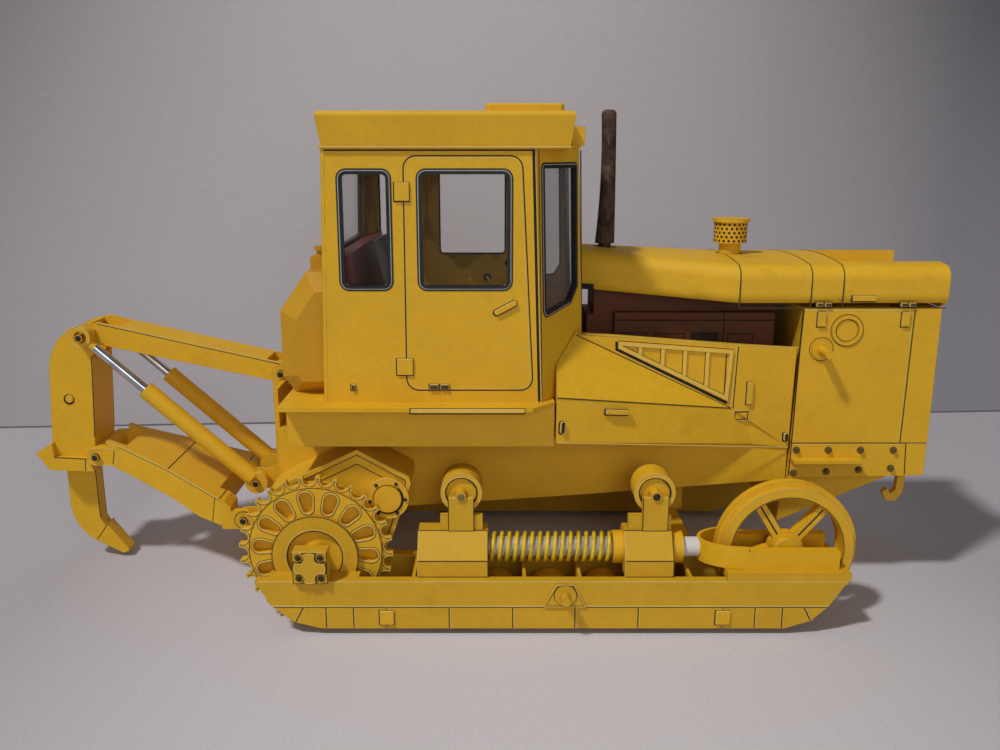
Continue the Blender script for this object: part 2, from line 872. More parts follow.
def turned(place: Matrix, profile: Sequence[Point2], steps: int = 32) -> BMesh:
    """Makes a turned shape, closed on its axis at both ends.

    Args:
        place: Placement of its axis, in metres; the axis is the third direction.
        profile: Radius and height of each ring, in millimetres.
        steps: Faces round the axis.

    Returns:
        The mesh.
    """
    bm = bmesh.new()
    rings = []
    for radius, height in profile:
        round_it = disc_loop((0.0, 0.0), radius, steps)
        rings.append([bm.verts.new(place @ (Vector((*point, height)) * MM)) for point in round_it])
    walls(bm, rings, 0)
    bm.faces.new(list(reversed(rings[0])))
    bm.faces.new(rings[-1])
    return bm


# ------------------------------------------------------------------------------ repeats
def begin_repeat(name: str, inputs: dict) -> tuple[Graph, object, Node]:
    """Starts a geometry tree with a geometry and a material socket."""
    inputs = {"Geometry": None, **inputs, "Material": None}
    return Graph.begin(name, TreeKind.GEOMETRY, inputs, {"Geometry": None})


def end_repeat(graph: Graph, given: object, made: Node, result: Socket) -> Tree:
    """Ends a geometry tree in real instances and its material.

    Args:
        graph: The tree's graph.
        given: The sockets that its inputs come from.
        made: Its output node.
        result: The geometry that it has made.

    Returns:
        The tree.
    """
    real = graph.add("GeometryNodeRealizeInstances", {0: result})
    paint = graph.add("GeometryNodeSetMaterial", {"Geometry": real.outputs[0], "Material": given["Material"]})
    graph.feed(made, {"Geometry": paint.outputs[0]})
    return graph.tree


def swept(graph: Graph, path: Socket, radius: Socket, sides: object) -> Socket:
    """Sweeps a round section along a curve.

    Args:
        graph: The graph that it is added to.
        path: The curve.
        radius: Radius of the section.
        sides: Sides of the section.

    Returns:
        The swept surface.
    """
    section = graph.add("GeometryNodeCurvePrimitiveCircle", {"Resolution": sides, "Radius": radius})
    feeds = {"Curve": path, "Profile Curve": section.outputs[0], "Fill Caps": True}
    return graph.add("GeometryNodeCurveToMesh", feeds).outputs[0]


@cache
def line_tree() -> Tree:
    """Sweeps a small round section along the paths of a mesh of edges."""
    graph, given, made = begin_repeat("swept_line", {"Radius": 0.0002, "Sides": 6})
    path = graph.add("GeometryNodeMeshToCurve", {"Mesh": given["Geometry"]})
    return end_repeat(graph, given, made, swept(graph, path.outputs[0], given["Radius"], given["Sides"]))


@cache
def stud_tree() -> Tree:
    """Puts a low many-sided head on each point, facing the way its aim says."""
    inputs = {"Radius": 0.001, "Height": 0.001, "Sides": 6, "Taper": 0.8}
    graph, given, made = begin_repeat("studs", inputs)
    head = graph.add("GeometryNodeMeshCone", {
        "Vertices": given["Sides"],
        "Radius Bottom": given["Radius"],
        "Radius Top": graph.math("MULTIPLY", given["Radius"], given["Taper"]),
        "Depth": given["Height"],
    })
    aim = graph.add("GeometryNodeInputNamedAttribute", {"Name": "aim"}, data_type="FLOAT_VECTOR")
    turn = graph.add("FunctionNodeAlignRotationToVector", {"Vector": aim.outputs["Attribute"]}, axis="Z")
    spots = graph.add("GeometryNodeMeshToPoints", {"Mesh": given["Geometry"]})
    feeds = {"Points": spots.outputs[0], "Instance": head.outputs["Mesh"], "Rotation": turn.outputs[0]}
    return end_repeat(graph, given, made, graph.add("GeometryNodeInstanceOnPoints", feeds).outputs[0])


@cache
def spring_tree() -> Tree:
    """Winds a wire spring along the third direction, from the origin."""
    inputs = {"Coil Radius": 0.004, "Wire Radius": 0.0005, "Length": 0.03, "Turns": 16.0}
    graph, given, made = begin_repeat("wound_spring", inputs)
    helix = graph.add("GeometryNodeCurveSpiral", {
        "Resolution": 22,
        "Rotations": given["Turns"],
        "Start Radius": given["Coil Radius"],
        "End Radius": given["Coil Radius"],
        "Height": given["Length"],
    })
    return end_repeat(graph, given, made, swept(graph, helix.outputs[0], given["Wire Radius"], 8))


def repeated(tree: Tree, seed: Mesh, values: dict, finish: Finish) -> Mesh:
    """Runs one tree and returns its result as a plain mesh.

    Args:
        tree: The geometry tree.
        seed: The mesh that it starts from.
        values: Its named inputs.
        finish: The finish that it gives.

    Returns:
        The plain mesh.
    """
    holder = put("holder", seed)
    modifier = holder.modifiers.new("repeat", "NODES")
    modifier.node_group = tree
    values = {**values, "Material": finish.material()}
    for item in tree.interface.items_tree:
        if item.item_type == "SOCKET" and item.in_out == "INPUT" and item.name in values:
            modifier[item.identifier] = values[item.name]
    graph = bpy.context.evaluated_depsgraph_get()
    mesh = bpy.data.meshes.new_from_object(holder.evaluated_get(graph))
    holder.modifiers.clear()
    bpy.data.objects.remove(holder)
    return mesh


def lines(name: str, paths: Iterable[Path], width: float, finish: Finish, body: str = CHASSIS) -> Piece:
    """Draws lines on the model.

    Args:
        name: Piece name.
        paths: The points of each line, in metres, and whether it closes.
        width: Line width in millimetres.
        finish: Its ink.
        body: The body that it rides on.

    Returns:
        The piece.
    """
    verts: list[Vector] = []
    edges: list[tuple[int, int]] = []
    for points, closed in paths:
        base, last = len(verts), len(verts) + len(points) - 1
        verts += points
        edges += [(k, k + 1) for k in range(base, last)] + [(last, base)] * closed
    seed = bpy.data.meshes.new(name + "_path")
    seed.from_pydata([tuple(v) for v in verts], edges, [])
    mesh = repeated(line_tree(), seed, {"Radius": width / 2 * MM, "Sides": 6}, finish)
    return piece_of(mesh, name, [finish], body)


def studs(
    name: str,
    spots: Sequence[tuple[Vector, Vector]],
    radius: float,
    height: float,
    finish: Finish,
    sides: int,
    taper: float,
) -> Piece:
    """Sets small heads on the chassis.

    Args:
        name: Piece name.
        spots: Place, in metres, and outward direction of each head.
        radius: Head radius in millimetres.
        height: Head height in millimetres.
        finish: Its finish.
        sides: Sides of the head.
        taper: Top radius as a share of the radius.

    Returns:
        The piece.
    """
    seed = bpy.data.meshes.new(name + "_spots")
    seed.from_pydata([tuple(p) for p, _ in spots], [], [])
    aim = seed.attributes.new("aim", "FLOAT_VECTOR", "POINT")
    for item, (_, direction) in zip(aim.data, spots):
        item.vector = direction
    values = {"Radius": radius * MM, "Height": height * MM, "Sides": sides, "Taper": taper}
    return piece_of(repeated(stud_tree(), seed, values, finish), name, [finish], CHASSIS)


def bolt_heads(name: str, facet: Facet, points: Iterable[Point2], look: tuple) -> None:
    """Sets heads of a look, which is what studs takes, on a facet of the right side, and their twins."""
    twin(studs(name, [(facet.at(p), Vector((0, -1, 0))) for p in points], *look))


class Sketch:
    """Printed lines and raised card on one facet, gathered and then built for both sides.

    Attributes:
        sink: Share of a line's width by which its middle lies under the face.
        ease: Width of the eased edge of raised card.
        root: Where raised card starts, under the face.
        shadow: How far its shadow line is moved.
    """

    sink = 0.22
    ease = 0.12
    root = -0.2
    shadow = (-0.12, -0.16)

    def __init__(self, name: str, facet: Facet, body: str = CHASSIS, both: bool = True) -> None:
        """Starts an empty sheet.

        Args:
            name: Stem of the piece names, which end in _right where both is true.
            facet: The face that it lies on.
            body: The body that its pieces ride on.
            both: Whether its mirror twin is built too.
        """
        self.name, self.facet, self.body, self.both = name, facet, body, both
        self.paths: dict[tuple[Finish, float], list[Path]] = {}
        self.card = bmesh.new()
        self.card_finishes: list[Finish] = []

    def draw(self, finish: Finish, width: float, *paths: Sequence[Point2], closed: bool = False) -> "Sketch":
        """Adds printed lines of one ink and width.

        Args:
            finish: The ink.
            width: Line width in millimetres.
            *paths: The points of each line.
            closed: Whether the lines close.

        Returns:
            The sketch.
        """
        for points in paths:
            path = ([self.facet.at(p, -self.sink * width) for p in points], closed)
            self.paths.setdefault((finish, width), []).append(path)
        return self

    def rings(self, finish: Finish, width: float, *loops: Sequence[Point2]) -> "Sketch":
        """Adds printed closed lines of one ink and width, and returns the sketch."""
        return self.draw(finish, width, *loops, closed=True)

    def index(self, finish: Finish) -> int:
        """Number of a finish among the raised card's materials.

        Args:
            finish: The finish, which is added if it is new.

        Returns:
            Its number.
        """
        if finish not in self.card_finishes:
            self.card_finishes.append(finish)
        return self.card_finishes.index(finish)

    def raised(
        self, loop: Sequence[Point2], height: float, top: Finish = YELLOW, side: Finish = PALE
    ) -> "Sketch":
        """Adds a raised card piece with a printed shadow line round it.

        Args:
            loop: Its anticlockwise outline.
            height: Its height above the face.
            top: Finish of its top.
            side: Finish of its sides.

        Returns:
            The sketch.
        """
        self.plate(loop, height, self.ease, top, side)
        right, up = self.shadow
        return self.rings(INK, 0.5, [(u + right, v + up) for u, v in moved_in(loop, -self.ease)])

    def plate(self, loop: Sequence[Point2], height: float, ease: float, top: Finish, side: Finish) -> None:
        """Adds a raised card piece alone."""
        slab(self.card, self.facet, loop, self.root, height, ease, self.index(top), self.index(side))

    def frame(self, loop: Sequence[Point2], width: float, finish: Finish, low: float, high: float) -> Loop:
        """Adds a flat frame inside an outline.

        Args:
            loop: The outline.
            width: Width of the frame.
            finish: Its finish.
            low: Its underside above the face.
            high: Its top above the face.

        Returns:
            The inner outline.
        """
        inner = moved_in(loop, width)
        band(self.card, self.facet, loop, inner, low, high, self.index(finish))
        return inner

    def build(self) -> None:
        """Makes the pieces, and their twins where there are two."""
        tail = "_right" if self.both else ""
        made = [
            lines(f"{self.name}_lines_{number}{tail}", paths, width, finish, self.body)
            for number, ((finish, width), paths) in enumerate(self.paths.items())
        ]
        if self.card.verts:
            made.append(new_piece(f"{self.name}_card{tail}", self.card, self.card_finishes, self.body))
        if self.both:
            for piece in made:
                twin(piece, self.body.replace("_right", "_left"))


# ------------------------------------------------------------------------------ sub-assemblies
@dataclass
class Cab:
    """Cab: window seals, door print, handle, hinges and the print round them.

    Attributes:
        half_w: Half width over the side walls.
        corner_x: Where the side wall ends and the corner panel starts, at the deck.
        front_x: Front wall at the deck.
        front_half_w: Half width of the front wall.
        rear_x: Rear wall at the deck.
        deck_z: Height of the deck.
        top_z: Height of the walls.
        lean: How far the front leans back at the top.
        rear_lean: How far the rear wall leans forward there.
        seal_w: Width of a seal.
        seal_radius: Corner radius of most seals.
    """

    half_w: float = 42.8
    corner_x: float = 20.8
    front_x: float = 34.2
    front_half_w: float = 25.0
    rear_x: float = -41.4
    deck_z: float = 66.2
    top_z: float = 136.8
    lean: float = 2.6
    rear_lean: float = 1.9
    seal_w: float = 1.5
    seal_radius: float = 2.7

    def seal(self, sketch: Sketch, corners: Sequence[Point2], radius: float) -> None:
        """Adds a window seal: black, silver and black rings that wrap the opening's edge.

        Args:
            sketch: The sketch that it is added to.
            corners: Its sharp outer outline.
            radius: Corner radius.
        """
        loop = rounded(corners, radius)
        for width, finish, low, high in (
            (0.46, SEAL, -0.1, 0.12),
            (0.24, SILVER_PRINT, -0.1, 0.2),
            (0.4, SEAL, -0.1, 0.3),
            (self.seal_w - 1.0, SEAL, -1.25, 0.2),
        ):
            loop = sketch.frame(loop, width, finish, low, high)

    def build(self) -> None:
        """Builds everything on the cab."""
        Sketch("roof_lip", side_facet(43.8)).draw(PALE, 0.45, [(-39.2, 137.2), (27.9, 137.2)]).build()
        step = box_loop(-16.0, 65.0, 15.9, 66.2)
        Sketch("deck_edge", side_facet(50.0)).raised(step, 0.35, YELLOW_PALE).build()
        self.side()
        self.corner()
        rise = self.top_z - self.deck_z
        for name, x, way, lean, (half, low, high), folds in (
            ("cab_front", self.front_x, 1, -self.lean, (22.3, 24.5, 67.3), (-24.6, 24.6)),
            ("cab_rear", self.rear_x, -1, self.rear_lean, (29.3, 40.3, 65.1), ()),
        ):
            sketch = Sketch(name, Facet((x, 0, self.deck_z), (0, way, 0), (lean, 0, rise)), both=False)
            self.seal(sketch, box_loop(-half, low, half, high), self.seal_radius)
            sketch.draw(INK_SOFT, 0.4, *([(u, 0.3), (u, 70.2)] for u in folds)).build()

    def side(self) -> None:
        """Side wall: two window seals, the door's print, its hinges, handle and vents."""
        sketch = Sketch("cab_side", side_facet(self.half_w))
        for left, right in ((-35.7, -20.6), (-14.0, 12.5)):
            self.seal(sketch, box_loop(left, 98.2, right, 131.6), self.seal_radius)
        door = rounded([(-17.6, 69.7), (18.4, 69.7), (14.9, 134.9), (-17.3, 134.9)], 3.4)
        sketch.rings(INK, 0.42, door).rings(PALE, 0.28, moved_in(door, 0.5))
        sketch.draw(INK, 0.85, [(20.2, 66.4), (17.9, 136.6)])
        sketch.draw(PALE, 0.34, [(20.85, 66.4), (18.45, 136.6)])
        for hinge in ((-19.8, 123.0, -15.8, 127.9), (-20.2, 74.3, -15.7, 79.0)):
            sketch.raised(box_loop(*hinge), 0.7)
        sketch.draw(INK, 0.5, [(-38.6, 136.35), (17.6, 136.35)])
        sketch.raised(rounded(bar_loop((7.4, 91.9), (13.6, 95.2), 1.5), 0.7, 4), 0.9)
        for left, right in ((-11.1, -8.6), (-8.0, -5.6), (-33.4, -32.2)):
            sketch.raised(box_loop(left, 69.9, right, 71.5), 0.8, INK_SOFT)
        sketch.build()

    def corner(self) -> None:
        """Corner panel between the side and the front."""
        facet = Facet(
            (self.corner_x, -self.half_w, self.deck_z),
            (self.front_x - self.corner_x, self.half_w - self.front_half_w, 0),
            (-self.lean, 0, self.top_z - self.deck_z),
        )
        sketch = Sketch("cab_corner", facet)
        window = [(1.3, 26.0), (2.6, 23.8), (16.0, 26.4), (19.8, 31.0), (19.8, 66.9), (1.3, 66.9)]
        self.seal(sketch, window, 1.4)
        for finish, width, u in ((INK, 0.5, 0.35), (INK_SOFT, 0.4, 21.9)):
            sketch.draw(finish, width, [(u, 0.3), (u, 70.2)])
        sketch.build()


@dataclass
class Bonnet:
    """Engine hood: seams, side knobs, latches and the perforated precleaner.

    Attributes:
        half_w: Half width from the seam forward.
        rear_half_w: Half width at the cab.
        rear_x: Rear end.
        seam_x: Where the taper ends.
        seams: The printed seams across it.
        side_top: Height at which the side turns into the top.
        bottom: Lower edge.
        crown: Rise of the top between its sides.
        bend: Radius of the top edges.
        bowl_x: Middle of the precleaner's bowl.
        bowl_radius: Its radius.
        hole_rows: Heights of the rows of holes in it.
        holes: Holes in each row.
    """

    half_w: float = 24.7
    rear_half_w: float = 13.0
    rear_x: float = 33.6
    seam_x: float = 80.5
    seams: tuple[float, ...] = (80.6, 101.9, 111.4)
    side_top: float = 102.6
    bottom: float = 90.3
    crown: float = 1.6
    bend: float = 4.2
    bowl_x: float = 82.8
    bowl_radius: float = 5.1
    hole_rows: tuple[float, ...] = (108.4, 109.68, 110.96, 112.24, 113.52)
    holes: int = 20

    def across(self, x: float) -> list[Vector]:
        """Points of a seam over the hood at a distance forward.

        Args:
            x: The distance forward.

        Returns:
            The points in metres, from the left to the right.
        """
        flat, steps = self.half_w - self.bend, 12
        radius = (self.half_w**2 + self.crown**2) / (2 * self.crown)
        top = []
        for k in range(-steps, steps + 1):
            y = flat * k / steps
            top.append((y, self.side_top + self.crown - radius + math.sqrt(radius**2 - y**2)))
        turn = arc((flat, top[-1][1] - self.bend), self.bend, 0, 90, 6)[1:-1]
        edge = [(self.half_w, self.bottom + 0.1), (self.half_w, self.side_top - self.bend), *turn]
        path = [(-y, z) for y, z in edge] + top + list(reversed(edge))
        return [Vector((x, y, z - 0.08)) * MM for y, z in path]

    def build(self) -> None:
        """Builds everything on the hood."""
        lines("hood_seams", [(self.across(x), False) for x in self.seams], 0.42, INK_SOFT)
        side = Sketch("hood_side", side_facet(self.half_w))
        side.raised(box_loop(114.3, 92.6, 121.2, 94.2), 0.9)
        for left in (103.6, 106.1, 128.8, 131.3):
            side.raised(box_loop(left, 90.9, left + 1.9, 92.1), 0.9, INK_SOFT)
        side.draw(INK_SOFT, 0.3, [(80.8, 90.4), (142.6, 90.4)]).build()
        run = (self.seam_x - self.rear_x, -(self.half_w - self.rear_half_w), 0)
        rear = Sketch("hood_rear", Facet((self.rear_x, -self.rear_half_w, 0), run, (0, 0, 1)))
        rear.raised(box_loop(1.2, 94.9, 4.4, 96.1), 0.8, INK, INK_SOFT).build()
        self.bowl()

    def bowl(self) -> None:
        """Rows of printed holes round the precleaner's bowl."""
        spots = []
        for row, height in enumerate(self.hole_rows):
            for k in range(self.holes):
                angle = math.radians((k + row % 2 / 2) * 360 / self.holes)
                out = Vector((math.cos(angle), math.sin(angle), 0))
                spots.append(((out * self.bowl_radius + Vector((self.bowl_x, 0, height))) * MM, out))
        studs("precleaner_holes", spots, 0.44, 0.07, INK, 8, 0.9)


@dataclass
class Engine:
    """Boxes printed on the engine's sides.

    Attributes:
        side_y: Face of the print.
        boxes: Left, low, right and high of each box.
    """

    side_y: float = 13.0
    boxes: tuple[Box, ...] = ((46.4, 73.2, 55.2, 80.6), (57.6, 72.6, 67.0, 80.4), (80.6, 72.0, 88.4, 80.2))

    def build(self) -> None:
        """Builds the print on both sides."""
        sketch = Sketch("engine_side", side_facet(self.side_y))
        sketch.rings(ENGINE_INK, 0.5, *(box_loop(*box) for box in self.boxes))
        sketch.raised(box_loop(69.4, 76.6, 77.4, 80.6), 0.9, ENGINE_INK, ENGINE_INK)
        sketch.draw(ENGINE_INK, 0.5, [(45.2, 84.6), (94.8, 84.6)], [(79.2, 67.4), (79.2, 86.8)]).build()


@dataclass
class Flanks:
    """Side panels: louvre, folds, bars and knobs.

    Attributes:
        front: Front end of the leaning panel and its half width there.
        splay: How far the panel leans out for each millimetre rearward.
        louvre: Outline of the raised louvre frame, anticlockwise.
        rim: Width of the frame.
        posts: Middles of its posts.
        post_w: Width of a post.
    """

    front: Point2 = (98.4, 24.7)
    splay: float = 0.0652
    louvre: tuple[Point2, ...] = ((44.3, 78.95), (78.5, 62.1), (79.4, 77.9), (44.3, 81.0))
    rim: float = 1.15
    posts: tuple[float, ...] = (51.0, 57.9, 64.7, 71.6)
    post_w: float = 1.1

    def build(self) -> None:
        """Builds everything on the side panels."""
        x, half_w = self.front
        facet = Facet((0.0, -half_w - self.splay * x, 0.0), (1, self.splay, 0), (0, 0, 1))
        sketch = Sketch("side_panel", facet)
        self.louvres(sketch)
        sketch.draw(INK, 0.34, [(31.7, 83.1), (79.7, 59.75)])
        sketch.draw(PALE, 0.26, [(46.5, 76.5), (79.3, 60.55)])
        sketch.draw(INK, 0.36, [(81.0, 78.8), (80.45, 59.7)])
        sketch.draw(PALE, 0.26, [(80.55, 78.8), (80.0, 60.0)])
        sketch.draw(PALE, 0.3, [(34.6, 83.3), (80.6, 79.25), (99.6, 78.3)])
        sketch.raised(box_loop(84.5, 60.9, 86.2, 67.9), 0.9)
        sketch.rings(PALE, 0.34, box_loop(80.9, 55.7, 85.6, 58.8))
        sketch.rings(INK, 0.28, box_loop(81.25, 56.0, 85.3, 58.5))
        sketch.draw(INK, 0.42, [(81.3, 58.4), (85.2, 58.4), (85.2, 56.1)])
        sketch.raised(rounded(box_loop(96.9, 48.9, 98.1, 51.6), 0.5, 3), 1.1, INK).build()
        foot = Sketch("flare_foot", Facet((25.0, -44.5, 54.5), (73.4, 19.8, -7.8), (0.4, 1.5, 13.0)))
        foot.raised(rounded(box_loop(0.9, 2.9, 2.1, 6.3), 0.5, 3), 1.0, INK)
        foot.raised(box_loop(14.7, 8.8, 21.7, 10.2), 0.9).build()
        for name, width, finish, ends in (
            ("flare_crease_right", 0.4, INK_SOFT, ((25.3, -43.05, 67.45), (79.6, -25.95, 59.65))),
            ("flare_bottom_right", 0.34, PALE, ((25.3, -44.5, 54.45), (98.2, -24.75, 46.7))),
        ):
            twin(lines(name, [([Vector(end) * MM for end in ends], False)], width, finish))

    def louvres(self, sketch: Sketch) -> None:
        """Raised frame with five openings and its printed shadows.

        Args:
            sketch: The sketch that they are added to.
        """
        inner = sketch.frame(self.louvre, self.rim, YELLOW_PALE, sketch.root, 0.7)
        sketch.draw(INK, 1.05, [(43.9, 80.9), (43.95, 78.5), (78.4, 61.3)])
        sketch.draw(INK_SOFT, 0.3, [(44.4, 81.15), (79.55, 78.05), (78.75, 62.6)])
        half = self.post_w / 2
        ends = [inner[0][0] - half, *self.posts, inner[1][0] + half]
        low, high = (inner[0], inner[1]), (inner[3], inner[2])
        for start, end in zip(ends, ends[1:]):
            left, right = start + half, end - half
            corners = [
                (left, self.on(low, left)),
                (right, self.on(low, right) + 0.15),
                (right, self.on(high, right)),
                (left, self.on(high, left)),
            ]
            sketch.rings(INK_SOFT, 0.34, corners).draw(INK, 0.5, corners[:0:-1])
        for middle in self.posts:
            left, right = middle - half, middle + half
            ends = ((left, low), (right, low), (right, high), (left, high))
            shape = [(u, self.on(edge, u)) for u, edge in ends]
            sketch.plate(shape, 0.65, 0.1, YELLOW_PALE, YELLOW_PALE)

    @staticmethod
    def on(edge: tuple[Point2, Point2], u: float) -> float:
        """Height of a straight edge at a station."""
        (start_u, start_v), (end_u, end_v) = edge
        return start_v + (end_v - start_v) * (u - start_u) / (end_u - start_u)


@dataclass
class Nose:
    """Radiator guard: door print, hinges, printed rings and bolts.

    Attributes:
        half_w: Half width.
        bolts: Places of the bolt heads in the lower plate.
    """

    half_w: float = 24.7
    bolts: tuple[Point2, ...] = (
        *((101.2, 45.9), (111.1, 45.9), (121.1, 45.9), (131.3, 45.9)),
        *((100.8, 38.4), (111.0, 38.9), (121.0, 39.5), (131.0, 40.0)),
    )

    def build(self) -> None:
        """Builds everything on the guard."""
        facet = side_facet(self.half_w)
        sketch = Sketch("guard", facet)
        for finish, width, path in (
            (INK, 0.42, [(99.9, 90.0), (99.4, 48.1), (99.2, 37.4)]),
            (PALE, 0.35, [(100.3, 89.7), (132.8, 89.7)]),
            (INK_SOFT, 0.45, [(133.4, 89.9), (133.0, 48.1)]),
            (PALE, 0.25, [(132.9, 89.9), (132.5, 48.1)]),
            (INK, 0.36, [(99.4, 48.1), (141.2, 48.1)]),
            (PALE, 0.25, [(99.6, 47.5), (133.8, 47.5)]),
            (INK, 0.4, [(134.9, 47.8), (135.4, 38.0)]),
            (PALE, 0.3, [(135.9, 47.9), (141.2, 47.9), (140.9, 37.9)]),
        ):
            sketch.draw(finish, width, path)
        for left in (104.4, 129.6):
            sketch.raised(box_loop(left, 84.9, left + 2.3, 89.2), 0.8)
        dials = (((106.2, 77.8), 3.6), ((113.5, 83.6), 4.9), ((113.5, 83.6), 3.3))
        sketch.rings(INK_SOFT, 0.3, *(disc_loop(middle, radius) for middle, radius in dials)).build()
        bolt_heads("guard_bolts_right", facet, self.bolts, (0.95, 1.0, BOLT, 10, 0.72))
        rims = [disc_loop((u - 0.1, v - 0.15), 1.05, 14) for u, v in self.bolts]
        paths = [([facet.at(point, -0.05) for point in rim], True) for rim in rims]
        twin(lines("guard_bolt_rims_right", paths, 0.3, INK))


@dataclass
class TrackGear:
    """Track frames, recoil gear and carrier rollers, with their print.

    Attributes:
        half_w: Outer face of the track frame.
        top_z: Its upper face.
        fold_z: Fold between its two strips.
        joints: Where the upright lines of the lower strip are.
        squares: Middles of the raised squares.
        housings: Rear and front end of each recoil housing.
        housing_y: Its upright face.
        housing_top_y: Outer edge of its top.
        bevel_z: Where its upright face ends.
        housing_top_z: Its top.
        carriers: Where the carrier rollers stand.
        carrier_z: Height of their axles.
        carrier_y: Their outer face.
        carrier_w: Their width.
        stand_y: Outer face of their stands.
        spring_from: Rear end of the spring.
        spring_to: Front end of the spring.
        spring_z: Height of the spring's axis.
        track_y: Middle of the track.
        trunnion: Middle of the push-arm trunnion.
        idler: Middle of the front wheel.
    """

    half_w: float = 56.0
    top_z: float = 16.7
    fold_z: float = 9.0
    joints: tuple[float, ...] = (-41.1, -33.2, -5.7, 12.6, 30.5, 48.7, 82.3, 90.2)
    squares: tuple[Point2, ...] = ((-23.6, 5.6), (73.1, 5.6))
    housings: tuple[Point2, ...] = ((-14.8, 5.5), (45.0, 59.0))
    housing_y: float = 53.3
    housing_top_y: float = 48.0
    bevel_z: float = 21.7
    housing_top_z: float = 28.9
    carriers: tuple[float, ...] = (-2.3, 54.0)
    carrier_z: float = 39.5
    carrier_y: float = 45.4
    carrier_w: float = 8.6
    stand_y: float = 48.2
    spring_from: float = 5.5
    spring_to: float = 42.0
    spring_z: float = 22.7
    track_y: float = 45.0
    trunnion: Point2 = (27.6, 12.7)
    idler: Point2 = (92.8, 22.75)

    def build(self) -> None:
        """Builds everything on the track gear."""
        self.strips()
        self.plate()
        for number, (rear, front) in enumerate(self.housings):
            self.housing(number, rear, front)
        for number, x in enumerate(self.carriers):
            self.carrier(number, x)
        self.wheel()
        self.springs()

    def strips(self) -> None:
        """Print of the frame's two strips and the raised squares."""
        sketch = Sketch("track_frame", side_facet(self.half_w))
        under, foot, top = self.fold_z - 0.35, 2.3, self.top_z - 0.15
        slanted = [((-50.0, 3.9), (-47.5, under)), ((98.4, 4.6), (96.3, under))]
        for start, end in [((x, foot), (x, under)) for x in self.joints] + slanted:
            sketch.draw(INK, 0.38, [start, end])
            sketch.draw(PALE, 0.3, [(start[0] + 0.42, start[1]), (end[0] + 0.42, end[1])])
        for finish, width, z, spans in (
            (PALE, 0.4, self.fold_z, ((-56.4, 21.4), (33.8, 103.2))),
            (INK_SOFT, 0.28, under, ((-56.2, 21.6), (33.6, 103.0))),
            (PALE, 0.35, top, ((-60.2, 107.8),)),
        ):
            sketch.draw(finish, width, *([(left, z), (right, z)] for left, right in spans))
        for u, v in self.squares:
            sketch.raised(box_loop(u - 2.0, v - 2.1, u + 2.0, v + 2.1), 0.7)
            middle = u - 0.1
            spans = ((v + 2.5, under), (foot, v - 2.6))
            sketch.draw(INK_SOFT, 0.3, *([(middle, low), (middle, high)] for low, high in spans))
        sketch.build()

    def plate(self) -> None:
        """Print of the trunnion's plate."""
        x, z = self.trunnion
        low, high = self.fold_z + 0.1, self.top_z - 0.8
        sides = [(x - 6.0, low), (x - 2.6, high), (x + 2.6, high), (x + 6.0, low)]
        sketch = Sketch("trunnion_plate", side_facet(self.half_w + 0.6))
        sketch.rings(PALE, 0.35, sides).rings(INK_SOFT, 0.28, moved_in(sides[::-1], 0.4))
        sketch.rings(INK_SOFT, 0.3, disc_loop((x, z), 3.25)).build()

    def housing(self, number: int, rear: float, front: float) -> None:
        """Folds and cut edges of one recoil housing.

        Args:
            number: Its number, from the rear.
            rear: Its rear end.
            front: Its front end.
        """
        foot, left, right = self.top_z + 0.2, rear + 0.08, front - 0.08
        across = (rear + 0.1, front - 0.1)
        side = Sketch(f"recoil_housing_{number}", side_facet(self.housing_y))
        side.draw(INK, 0.32, [(x, self.bevel_z) for x in across])
        side.draw(INK_SOFT, 0.3, [(x, self.top_z + 0.15) for x in across])
        side.draw(INK_SOFT, 0.32, [(right, foot), (right, self.bevel_z)])
        side.draw(PALE, 0.3, [(left, foot), (left, self.bevel_z)]).build()
        fall, rise = self.housing_y - self.housing_top_y, self.housing_top_z - self.bevel_z
        slope = math.hypot(fall, rise)
        facet = Facet((0, -self.housing_y, self.bevel_z), (1, 0, 0), (0, fall, rise))
        bevel = Sketch(f"recoil_bevel_{number}", facet)
        bevel.draw(INK_SOFT, 0.32, [(right, 0.1), (right, slope - 0.1)])
        bevel.draw(PALE, 0.3, [(left, 0.1), (left, slope - 0.1)])
        bevel.draw(INK_SOFT, 0.32, [(x, slope) for x in across]).build()

    def carrier(self, number: int, x: float) -> None:
        """Rings on one carrier roller, cut edges of its stand and its worn axle end.

        Args:
            number: Its number, from the rear.
            x: Where it stands.
        """
        middle = (x, self.carrier_z)
        ring = Sketch(f"carrier_ring_{number}", side_facet(self.carrier_y))
        for finish, width, radius in ((PALE, 0.32, 5.92), (PALE, 0.3, 4.85), (INK, 0.36, 4.6)):
            ring.rings(finish, width, disc_loop(middle, radius))
        ring.draw(INK, 0.6, arc((x + 0.1, self.carrier_z), 4.55, -35, 60)).build()
        back = Sketch(f"carrier_back_{number}", side_facet(self.carrier_y - self.carrier_w))
        back.rings(INK_SOFT, 0.3, disc_loop(middle, 6.0)).build()
        foot, top = self.housing_top_z, self.carrier_z - 0.6
        stand_print = Sketch(f"carrier_stand_{number}", side_facet(self.stand_y))
        stand_print.draw(INK_SOFT, 0.3, *([(u, foot), (u, top)] for u in (x - 3.62, x + 3.62)))
        stand_print.draw(PALE, 0.4, *([(x + side * 3.6, top), (x + side * 1.5, top)] for side in (-1, 1)))
        stand_print.draw(INK_SOFT, 0.28, [(x - 3.5, foot), (x + 3.5, foot)]).build()
        place = side_facet(self.stand_y + 0.35).spot(middle)
        tip = turned(place, [(1.05, 0.0), (1.12, 0.25), (0.75, 0.5)], 20)
        twin(new_piece(f"carrier_tip_{number}_right", tip, [PIN if number else WORN_TIP]))

